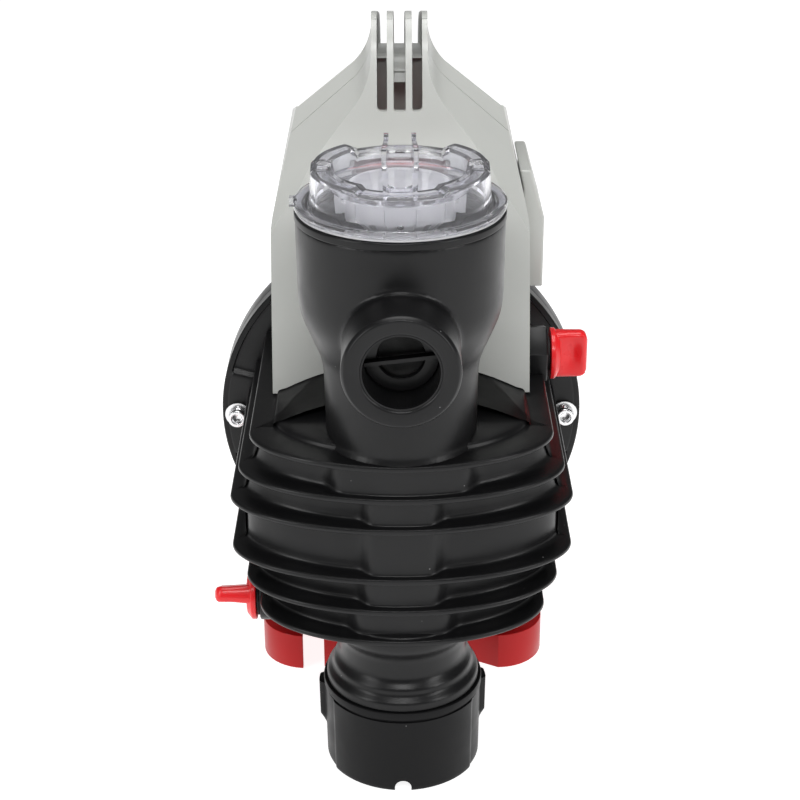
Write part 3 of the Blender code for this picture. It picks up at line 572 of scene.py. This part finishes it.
clear = bpy.data.materials.new("clear_plastic")
clear.use_nodes = True
clear_shader = clear.node_tree.nodes["Principled BSDF"]
clear_shader.inputs["Base Color"].default_value = (0.95, 0.95, 0.99, 1)
clear_shader.inputs["Roughness"].default_value = 0.03
clear_shader.inputs["Transmission Weight"].default_value = 0.94
clear_shader.inputs["IOR"].default_value = 1.3


def step(low, high, value):
    t = max(0.0, min(1.0, (value - low) / (high - low)))
    return t * t * (3 - 2 * t)


def lobe(angle):
    """How far a grip lobe stands up at this angle from the front, from 0 to 1."""
    degrees = abs((math.degrees(angle) + 180) % 360 - 180)
    rear = step(93, 97, degrees) * (1 - step(139, 143, degrees))
    ahead = step(28, 33, degrees) * (1 - step(82, 86, degrees))
    return rear, ahead


def lid_top(radius, angle):
    rear, ahead = lobe(angle)
    crest = 311.0 + 3.4 * rear + 1.8 * ahead
    return 306.5 + (crest - 306.5) * step(29.0, 31.2, radius)


LID_RADII = [0, 6, 12, 18, 23, 26, 28, 29, 29.5, 30, 30.4, 30.8, 31.2, 32, 33.5, 35, 36.5, 38, 39, 39.7, 40.2, 40.6]
sides = 240
lid_rings = []
for radius in LID_RADII:
    ring = []
    for i in range(sides):
        a = 2 * math.pi * i / sides
        z = lid_top(radius, a)
        z -= 1.6 * step(38.2, 40.8, radius) ** 2
        ring.append((radius * math.sin(a), -radius * math.cos(a), z))
    lid_rings.append(ring if radius else ring[:1])
for radius, z in ((40.9, 306), (41.1, 300.2), (41.6, 298.6), (42.8, 298.1), (47.6, 298.0), (48.3, 297.5),
                  (48.5, 296.6), (48.3, 295.0), (47.8, 294.7), (43.2, 294.6), (43.2, 284.4), (42.8, 284), (40.6, 284),
                  (40.2, 284.4), (38.6, 297), (38.3, 303)):
    lid_rings.append([(radius * math.sin(2 * math.pi * i / sides), -radius * math.cos(2 * math.pi * i / sides), z)
                      for i in range(sides)])
for radius in (37.6, 36.0, 34.6, 33.8, 33.4, 33.0, 32.6, 32.2, 31.8, 31.4, 31.1, 29, 26, 20, 12, 4, 0):
    ring = []
    for i in range(sides):
        a = 2 * math.pi * i / sides
        z = lid_top(radius - 2.2, a) - 2.6 if radius > 30 else 303.9
        ring.append((radius * math.sin(a), -radius * math.cos(a), z))
    lid_rings.append(ring if radius else ring[:1])
lid = skin("lid_shell", lid_rings)


channel = [(-6.6, -12), (-6.6, -20), (-6.6, -27)]
channel += [(6.6 * math.cos(math.pi + math.pi * i / 12), -27 + 6.6 * math.sin(math.pi + math.pi * i / 12))
            for i in range(1, 12)]
channel += [(6.6, -27), (6.6, -20), (6.6, -12)]
front_channel = wall_along("front_channel", channel, 1.2, 305.0, 313.2)
fins = [wall_along(f"rear_fin_{side}", [(side * 7.4, 12), (side * 6.4, 24), (side * 6.4, 36.5)], 1.1, 305.0, 317.5)
        for side in (-1, 1)]
combine(lid, front_channel, *fins)
tab = wall_along("lid_pointer", [(-50.2, -2.0), (-46.5, -2.0)], 2.2, 295.2, 299.2)
combine(lid, tab)
finish_piece(lid, clear, "lid_body", ["filter_lid"], 30)

seal = lathed("lid_ring_seal", rounded([(44.2, 293.3), (47.4, 293.3), (47.4, 294.3), (44.2, 294.3)],
                                       [0.2, 0.2], 3), steps=128, ring=True)
pale_rubber = moulded_plastic("pale_rubber", (0.45, 0.45, 0.46), 0.6, 0.1, 0.6, 12.0)
finish_piece(seal, pale_rubber, "lid_seal_body", ["lid_seal"])

# ---- Winged plugs, their seals and the vent adapter ----------------------------------------------
# The vent and drain plugs are one part used twice: glossy red plastic, a round flange with a hollow edge, and
# a flat wing with a shallow scoop on each side. The vent plug sits in a black hexagon adapter.

red_plastic = moulded_plastic("red_plastic", (0.70, 0.014, 0.018), 0.30, 0.12, 0.8, 18.0, 0.20, shine=0.3)


def plug(name, base, reach, spigot_r, spigot_low, at, way, wing_turn):
    flange_part = lathed(name, rounded(
        [(0, base + 5.0), (10, base + 5.0), (11.8, base + 3.4), (13.25, base + 2.4), (13.25, base), (spigot_r, base),
         (spigot_r, spigot_low), (0, spigot_low)], [1, 2, 0.5, 0.5, 0.3, 0.5], 4), steps=64)
    across, along, verts, faces = 26, 20, [], []
    low, high = base + 1.5, reach
    for side in (1, -1):
        for j in range(along + 1):
            for i in range(across + 1):
                u, v = -1 + 2 * i / across, j / along
                half = 12.5
                corner = 4.2
                y = low + (high - low) * v
                room = high - y
                limit = half if room > corner else half - corner + math.sqrt(max(0, corner**2 - (corner - room)**2))
                x = u * limit
                edge = min(1.0, (limit - abs(x)) / 2.2, room / 2.2)
                thick = 3.9 * (1 - (1 - max(edge, 0)) ** 2.4 * 0.55)
                scoop = 1.7 * math.exp(-(((v - 0.55) / 0.26) ** 2 + (u / 0.62) ** 2))
                thick = max(thick - scoop, 0.6)
                verts.append((x, side * thick * (1.0 + 0.25 * (1 - v)), y))
    row, block = across + 1, (across + 1) * (along + 1)
    for j in range(along):
        for i in range(across):
            a = j * row + i
            faces.append((a, a + 1, a + row + 1, a + row))
            faces.append((block + a + row, block + a + row + 1, block + a + 1, block + a))
    border = ([(0, i) for i in range(across)] + [(j, across) for j in range(along)]
              + [(along, across - i) for i in range(across)] + [(along - j, 0) for j in range(along)])
    loop = [j * row + i for j, i in border]
    for a, b in zip(loop, loop[1:] + loop[:1]):
        faces.append((a, b, block + b, block + a))
    wing = new_piece(f"{name}_wing", verts, faces)
    combine(flange_part, wing)
    turn = DIRECTIONS[way] @ Matrix.Rotation(math.radians(wing_turn), 3, "Z")
    flange_part.data.transform(Matrix.Translation(Vector(at) * MM) @ turn.to_4x4())
    return flange_part


vent = (0, 80, 187)
drain = (0, 25, 77)
vent_plug = plug("vent_wing_plug", 76.8, 96, 4.3, 66, vent, "right", 0)
finish_piece(vent_plug, red_plastic, "vent_plug_body", ["vent_plug"], 42)
drain_plug = plug("drain_wing_plug", 74.5, 95.5, 6.6, 58, drain, "left", 118)
finish_piece(drain_plug, red_plastic, "drain_plug_body", ["drain_plug"], 42)
for name, node, ring_at, way, low, high, outer, body in (
    ("vent_ring_seal", "vent_plug_seal", vent, "right", 75.3, 76.5, 9.0, "vent_seal_body"),
    ("drain_ring_seal", "drain_plug_seal", drain, "left", 73.0, 74.2, 11.0, "drain_seal_body"),
):
    seal = lathed(name, rounded([(outer - 3.7, low), (outer, low), (outer, high), (outer - 3.7, high)],
                                [0.3, 0.3], 3), at=ring_at, way=way, steps=48, ring=True)
    finish_piece(seal, rubber, body, [node])
for name, spot, way, radius, low, high in (("vent_boss", vent, "right", 12, 50, 64.6),
                                           ("drain_boss", drain, "left", 13.4, 52, 72.7)):
    boss = lathed(name, rounded([(7, low), (7, high), (radius, high), (radius, low)], [0.5, 1.0], 4),
                  at=spot, way=way, steps=48, ring=True)
    finish_piece(boss, black_plastic, "pump_body", ["pump_vessel"], 40)

hexagon = [(16 * math.cos(math.radians(60 * i + 11)), 16 * math.sin(math.radians(60 * i + 11))) for i in range(6)]
adapter = skin("hex_adapter", [[Vector(vent) + DIRECTIONS["right"] @ Vector((x * s, y * s, h)) for x, y in hexagon]
                               for s, h in ((0.96, 64.9), (1.0, 65.6), (1.0, 74.3), (0.95, 75.0))])
adapter_bore = lathed("adapter_bore", [(0, 80), (4.7, 80), (4.7, 60), (0, 60)], at=vent, way="right", steps=32)
combine(adapter, adapter_bore, how="DIFFERENCE")
soften = adapter.modifiers.new("edge", "BEVEL")
soften.width = 0.8 * MM
soften.segments = 3
soften.limit_method = "ANGLE"
baked(adapter)
finish_piece(adapter, black_plastic, "pump_body", ["vent_adapter"], 40)

# ---- Discharge port cap --------------------------------------------------------------------------
# A red screw cap closes the pressure port behind the filter bowl. It has a grip bar across its top.

discharge = (0, 78, 0)
outlet = lathed("discharge_boss", rounded([(13.5, 188), (13.5, 262), (19, 262), (19, 188)], [0.5, 0.8], 4),
                at=discharge, steps=64, ring=True)
finish_piece(outlet, black_plastic, "pump_body", ["pump_vessel"], 40)
cap = lathed("pressure_cap", rounded([(0, 272), (20.5, 272), (22, 270.5), (22, 263.6), (13, 263.6), (13, 250),
                                      (0, 250)], [0.8, 0.8, 0.8, 0.3, 0.5], 4), at=discharge, steps=72)
grip = wall_along("cap_bar", [(-16, 78), (16, 78)], 3.2, 270, 276)
combine(cap, grip)
finish_piece(cap, red_plastic, "discharge_cap_body", ["discharge_cap"], 40)

# ---- Flange screws and washers -------------------------------------------------------------------
# Six zinc-plated socket head screws with plain washers hold the tank to the bracket. Their sockets are
# slightly dark inside.


def plated(name, colour, roughness, metallic=1.0, scratch_mm=1.5):
    made = bpy.data.materials.new(name)
    made.use_nodes = True
    tree = made.node_tree
    shader = tree.nodes["Principled BSDF"]
    shader.inputs["Metallic"].default_value = metallic
    place = tree.nodes.new("ShaderNodeTexCoord")
    streaks = tree.nodes.new("ShaderNodeTexNoise")
    streaks.inputs["Scale"].default_value = 1000.0 / scratch_mm
    streaks.inputs["Detail"].default_value = 4.0
    tree.links.new(place.outputs["Object"], streaks.inputs["Vector"])
    shine = tree.nodes.new("ShaderNodeMapRange")
    shine.inputs["To Min"].default_value = roughness * 0.7
    shine.inputs["To Max"].default_value = roughness * 1.4
    tree.links.new(streaks.outputs["Fac"], shine.inputs["Value"])
    tree.links.new(shine.outputs["Result"], shader.inputs["Roughness"])
    shade = tree.nodes.new("ShaderNodeMix")
    shade.data_type = "RGBA"
    shade.inputs["A"].default_value = (*[c * 0.85 for c in colour], 1)
    shade.inputs["B"].default_value = (*colour, 1)
    tree.links.new(streaks.outputs["Fac"], shade.inputs["Factor"])
    tree.links.new(shade.outputs["Result"], shader.inputs["Base Color"])
    return made


zinc = plated("zinc_steel", (0.78, 0.78, 0.79), 0.22)

washer = lathed("washer", rounded([(3.4, 124.3), (7.0, 124.3), (7.0, 125.7), (3.4, 125.7)], [0.3, 0.3], 2),
                at=(90, 0, 0), way="back", steps=40, ring=True)
washers = repeated("flange_washers", washer, 6, turn=(0, 60, 0), material=zinc)
washers.data.transform(Matrix.Translation(Vector(AXIS) * MM))
finish_piece(washers, zinc, "pump_body", [f"flange_washer_{n}" for n in range(1, 7)])
screw = lathed("screw", rounded(
    [(0, 147), (3, 147), (3, 124), (5, 124), (5, 118), (3.1, 118), (2.9, 118.4), (2.9, 121.2), (0, 122.4)],
    [0.3, 0.2, 0.3, 0.9, 0.3, 0.1, 0.1], 3), at=(90, 0, 0), way="back", steps=36)
screws = repeated("flange_screws", screw, 6, turn=(0, 60, 0), material=zinc)
screws.data.transform(Matrix.Translation(Vector(AXIS) * MM))
finish_piece(screws, zinc, "pump_body", [f"flange_screw_{n}" for n in range(1, 7)])

# ---- Hood and carrying handle --------------------------------------------------------------------
# The motor sits under a light grey moulded hood in two shells. Its front leans back, its edges are faceted,
# and at the top it draws in to a handle of four upright fins with open grooves between them.


def both_sides(points):
    return points + [(-x, z) for x, z in reversed(points) if x > 0]


def flat(points):
    return [(p[0], p[1]) for p in points]


HOOD_WIDTH = flat(rounded([(66, 100), (64, 180), (64, 262), (57, 290), (51, 314), (38, 321), (28, 327.5),
                           (20, 336), (15.6, 345), (14, 353), (14, 368)],
                          [20, 4, 4, 3, 12, 8, 8, 8, 5], 4))
HOOD_INSIDE = [(63.3, 90), (61.4, 180), (61.4, 261), (54.5, 289), (48.6, 312), (36.6, 318.4), (26.6, 324.8),
               (18, 335)]
HOOD_SIDE = flat(rounded([(42, 182), (50, 213), (66, 260), (84, 300), (90, 318), (95, 334), (101, 348), (112, 357),
                          (135, 352.5), (200, 337.5), (262, 323), (300, 308), (322, 284), (332, 260), (341, 248),
                          (345, 240), (345, 105), (184, 105), (184, 182), (42.01, 182)],
                         [4, 6, 8, 4, 8, 8, 8, 14, 30, 30, 20, 12, 8, 5, 4, 4, 4, 4], 4))[:-1]
HOOD_SIDE_INSIDE = [(45, 90), (45, 182), (53, 212.5), (69, 259), (87, 299), (93, 316), (98, 333.5), (117, 333.5),
                    (119, 300), (336, 237), (342, 230), (342, 90)]
GRIP = flat(rounded([(200, 283.6), (164, 294), (161, 300), (161, 317), (169, 321), (262, 299), (277, 293),
                     (281, 274), (274, 262.3), (200.01, 283.6)], [4, 6, 8, 8, 8, 10, 8, 5], 4))[:-1]
GROOVE = flat(rounded([(60, 313), (102, 313), (113, 336), (169, 328), (262, 304), (288, 296), (304, 284),
                       (345, 262), (360, 400), (60, 400)], [4, 8, 20, 10, 8, 8, 0, 0], 4))
ROOF = [(120, 307.3), (354, 240), (354, 390), (120, 390)]

grey_plastic = moulded_plastic("grey_plastic", (0.44, 0.448, 0.427), 0.33, 0.2, 0.7, 22.0, 0.08)


def shoulder(side, inward, depth, radius=30.0):
    """What lies above the hollow slope beside the handle, from inward outwards, with a fillet at the handle."""
    rings = []
    for y in (30, 60, 75, 87, 98, 109, 120, 131):
        fall = 0.827 + 0.00516 * (120 - y)
        top = 298.6 + 0.4355 * y - 1.46 * depth
        ring = [(inward, 420)]
        for i in range(11):
            a = math.pi * (1 + 0.25 * i / 10)
            ring.append((inward + radius * (1 + math.cos(a)), top - fall * inward + radius * (0.421 + math.sin(a))))
        ring += [(100, top - fall * 100), (100, 420)]
        rings.append([(side * x, y, z) for x, z in ring])
    return skin("shoulder", rings)


def edged(obj, width, angle=28.0, segments=3):
    soft = obj.modifiers.new("edge", "BEVEL")
    soft.width = width * MM
    soft.segments = segments
    soft.limit_method = "ANGLE"
    soft.angle_limit = math.radians(angle)
    soft.harden_normals = False
    return baked(obj)


def hood_solid(name):
    body = prism(name, both_sides([(0, 100)] + HOOD_WIDTH + [(0, 368)]), 35, 352, "Y")
    combine(body, prism("side", HOOD_SIDE, -90, 90, "X"), how="INTERSECT")
    hollow = prism("hollow", both_sides([(0, 90)] + HOOD_INSIDE + [(0, 335)]), 40, 352, "Y")
    combine(hollow, prism("hollow_side", HOOD_SIDE_INSIDE, -80, 80, "X"), how="INTERSECT")
    combine(hollow, shoulder(-1, 11.2, 2.8), shoulder(1, 11.2, 2.8), how="DIFFERENCE")
    combine(hollow, prism("groove_floor", [(-4.6, 323), (4.6, 323), (4.6, 340), (-4.6, 340)], 60, 130, "Y"),
            how="DIFFERENCE")
    cutters = [hollow, prism("grip", GRIP, -14.5, 14.5, "X")]
    cutters += [shoulder(-1, 14, 0), shoulder(1, 14, 0)]
    for low, high in ((-90, -14), (14, 90)):
        cutters.append(prism("roof", ROOF, low, high, "X"))
    for low, high in ((-11.2, -6.2), (-3.0, 3.0), (6.2, 11.2)):
        groove = prism("groove", GROOVE, low, high, "X")
        shape = rounded([(low, 400), (low, 313), (high, 313), (high, 400)],
                        [3.6 if high < 0 else 1.2, 3.6 if low > 0 else 1.2], 5)
        room = prism("groove_end", flat(shape), 50, 140, "Y")
        combine(room, prism("groove_rest", [(low, 200), (high, 200), (high, 400), (low, 400)], 139, 400, "Y"))
        cutters.append(combine(groove, room, how="INTERSECT"))
    return combine(body, *cutters, how="DIFFERENCE")


hood_front = hood_solid("hood_front_shell")
dome = skin("dome", [tank_ring(z, 0.0, 60) for z in (120, 150, 178, 179.2, 182.2, 183.1, 183.5, 184, 185, 186, 187.5,
                                                     189, 190.5, 192, 193.3, 194.5, 195.6, 196.4, 197.2)])
dome.data.transform(Matrix.Translation((0, -0.0006, 0.0006)))
front_cutters = [
    prism("front_keep", [(-120, 108.8), (120, 108.8), (120, 400), (-120, 400)], 80, 400, "Z"),
    dome,
    lathed("drum_room", [(0, 130), (84, 130), (84, 86), (0, 86)], at=AXIS, way="back", steps=96),
    prism("discharge_room", [(-27, 40), (27, 40), (27, 92), (19, 104), (-19, 104), (-27, 92)], 150, 291, "Z"),
    lathed("vent_room", [(0, 72), (13, 72), (13, 50), (0, 50)], at=vent, way="right", steps=48),
    prism("vent_slot", [(50, 67), (72, 67), (72, 93), (50, 93)], 170, 187, "Z"),
]
combine(hood_front, *front_cutters, how="DIFFERENCE")
finish_piece(hood_front, grey_plastic, "pump_body", ["hood_front"], 25)

hood_rear = hood_solid("hood_rear_shell")
rear_cutters = [
    prism("rear_keep", [(-120, 30), (120, 30), (120, 109.2), (-120, 109.2)], 80, 400, "Z"),
    lathed("drum_room", [(0, 130), (84, 130), (84, 86), (0, 86)], at=AXIS, way="back", steps=96),
    lathed("flange_room", [(0, 161), (99.6, 161), (99.6, 117), (0, 117)], at=AXIS, way="back", steps=96),
]
louvre = prism("louvre", [(-42, 339), (42, 339), (42, 351), (-42, 351)], 122, 128, "Z")
rear_cutters.append(repeated("louvres", louvre, 4, step=(0, 0, 26)))
combine(hood_rear, *rear_cutters, how="DIFFERENCE")
finish_piece(hood_rear, grey_plastic, "pump_body", ["hood_rear"], 25)

recess = lathed("recess_wall", [(24.6, 200), (24.6, 289.5), (26.6, 289.5), (26.6, 200)], at=(0, 78, 0), steps=96,
                ring=True)
combine(recess, prism("recess_front", [(-60, 30), (60, 30), (60, 79), (-60, 79)], 180, 300, "Z"), how="DIFFERENCE")
finish_piece(recess, grey_plastic, "pump_body", ["hood_front"], 30)

# ---- Switch box and rocker -----------------------------------------------------------------------
# A small grey box with a sloping lid is moulded on the right side of the hood. A red rocker sits in its window. The
# black rubber gland under it that takes the mains cord is not built here.

switch_box = prism("switch_housing", [(64.3, 207.5), (75.6, 207.5), (75.6, 246.0), (68.2, 272.0),
                                      (62.2, 272.0), (64.3, 262.2)], 122, 176, "Y")
combine(switch_box, prism("rocker_window", [(132.6, 219.6), (157.4, 219.6), (157.4, 236.4), (132.6, 236.4)], 71, 80,
                          "X"), how="DIFFERENCE")
edged(switch_box, 1.2, 20)
finish_piece(switch_box, grey_plastic, "pump_body", ["switch_box"], 30)
rocker = prism("rocker_key", [(133, 220), (157, 220), (157, 236), (133, 236)], 72, 75.2, "X")
edged(rocker, 0.9, 40)
finish_piece(rocker, red_plastic, "rocker_body", ["switch_rocker"], 40)

# ---- Foot plate ----------------------------------------------------------------------------------
# A glossy red plastic tray under the motor with an open slot at two corners for fixing screws, and a
# saddle that the motor is screwed to.


def plate_outline(half, front, back, corner):
    """The tray's outline; its front edge is drawn back at the middle and more so on the right."""
    spots = []
    for cx, cy, start in ((half - corner, front + corner, -90), (half - corner, back - corner, 0),
                          (corner - half, back - corner, 90), (corner - half, front + corner, 180)):
        for i in range(13):
            a = math.radians(start + 7.5 * i)
            spots.append((cx + corner * math.cos(a), cy + corner * math.sin(a)))
    return spots + [(-40, front + 2.5), (-30, front + 5), (30, front + 10), (36, front + 9.5)]


foot_plate = prism("foot_plate_tray", plate_outline(78, 73, 330, 25), 0, 21, "Z")
slots = []
for sign, y in ((-1, 73), (1, 330)):
    reach = 24 if sign < 0 else -24
    round_end = [(sign * 49.2 + 5.8 * math.cos(math.pi * i / 8), y + reach + (5.8 if sign < 0 else -5.8)
                  * math.sin(math.pi * i / 8) - (5.8 if sign < 0 else -5.8)) for i in range(9)]
    slots.append(prism("slot", [(sign * 49.2 + 5.8, y - reach), *round_end, (sign * 49.2 - 5.8, y - reach)],
                       -5, 30, "Z"))
combine(foot_plate, prism("tray_hollow", plate_outline(75, 76.5, 327, 22), -5, 18, "Z"), *slots,
        how="DIFFERENCE")
saddle = prism("saddle", [(-44, 11), (44, 11), (40, 100), (-40, 100)], 200, 284, "Y")
seat = lathed("seat", [(0, 340), (59.6, 340), (59.6, 180), (0, 180)], at=AXIS, way="back", steps=96)
combine(saddle, seat, prism("saddle_hollow", [(-33, 206), (33, 206), (33, 278), (-33, 278)], 0, 60, "Z"),
        how="DIFFERENCE")
combine(foot_plate, saddle)
edged(foot_plate, 1.2, 40)
# The tray gets a darker copy of the red plastic: painted shade that offsets the extra light the tray takes from the
# bright floor.
shaded_plate_red = moulded_plastic("shaded_plate_red", (0.46, 0.006, 0.007), 0.34, 0.12, 0.8, 18.0, 0.1, shine=0.2)
finish_piece(foot_plate, shaded_plate_red, "pump_body", ["foot_plate"], 30)

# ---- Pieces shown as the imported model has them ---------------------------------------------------
# The motor, the impeller and the small inner parts keep their solids and get their own finishes.

cast = plated("cast_aluminium", (0.60, 0.60, 0.61), 0.5, 1.0, 0.8)
turned_steel = plated("turned_steel", (0.62, 0.62, 0.63), 0.25, 1.0, 2.0)
laminated = plated("laminated_steel", (0.28, 0.29, 0.30), 0.5, 1.0, 0.5)
copper = plated("copper_winding", (0.62, 0.27, 0.12), 0.38, 1.0, 1.0)
brass = plated("brass", (0.74, 0.55, 0.24), 0.3, 1.0, 1.0)
carbon = plated("carbon_ceramic", (0.08, 0.08, 0.085), 0.35, 0.0, 1.0)
FINISHES = {
    "black_plastic": black_plastic, "grey_plastic": grey_plastic, "red_plastic": red_plastic,
    "clear_plastic": clear, "white_plastic": white_plastic, "black_rubber": rubber, "zinc_steel": zinc,
    "turned_steel": turned_steel, "cast_aluminium": cast, "laminated_steel": laminated, "copper_winding": copper,
    "brass": brass, "carbon_ceramic": carbon,
}
slots_of = {part["node"]: part["material_slot"] for part in frame["record"]["subparts"]}
for node, obj in frame["nodes"].items():
    objects = obj if isinstance(obj, (list, tuple)) else [obj]
    for one in objects:
        one.data.materials.clear()
        one.data.materials.append(FINISHES[slots_of[node]])
